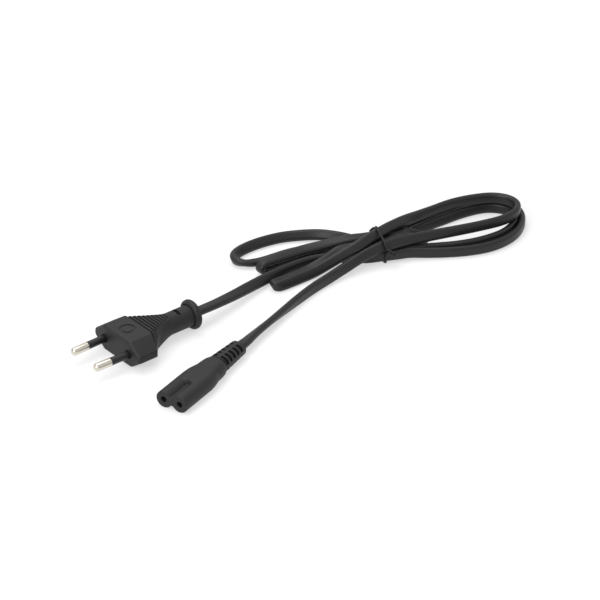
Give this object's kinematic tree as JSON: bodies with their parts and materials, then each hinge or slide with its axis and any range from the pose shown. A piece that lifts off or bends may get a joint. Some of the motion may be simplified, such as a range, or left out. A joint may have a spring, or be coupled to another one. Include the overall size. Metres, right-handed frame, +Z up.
{
  "type": "power cord",
  "caption": "Flat mains flex with a moulded europlug at one end and a figure-8 connector at the other, folded and tied.",
  "frame": {"origin": "on the floor, under the middle of the box round the plug and the connector", "axes": "+X along the plug's flex, away from its pins, +Z up from the floor"},
  "size_m": [0.2587, 0.1025, 0.0159],
  "materials": {
    "moulding": "matt moulded PVC",
    "flex": "satin PVC sheath",
    "sleeve": "satin insulation",
    "pin": "bright nickel plate",
    "carrier": "natural nylon",
    "contact": "rolled sheet",
    "live_core": "brown insulation",
    "neutral_core": "blue insulation",
    "tie": "coated wire"
  },
  "bodies": {
    "root": {"plug_body": "moulding", "pin_carrier": "carrier", "pin_live": "pin", "pin_neutral": "pin", "pin_sleeve_live": "sleeve", "pin_sleeve_neutral": "sleeve", "plug_core_live": "live_core", "plug_core_neutral": "neutral_core", "connector_body": "moulding", "contact_carrier": "carrier", "contact_live": "contact", "contact_neutral": "contact", "connector_core_live": "live_core", "connector_core_neutral": "neutral_core", "flex_plug_lead": "flex", "flex_hank": "flex", "flex_connector_lead": "flex", "twist_tie": "tie"}
  },
  "joints": []
}
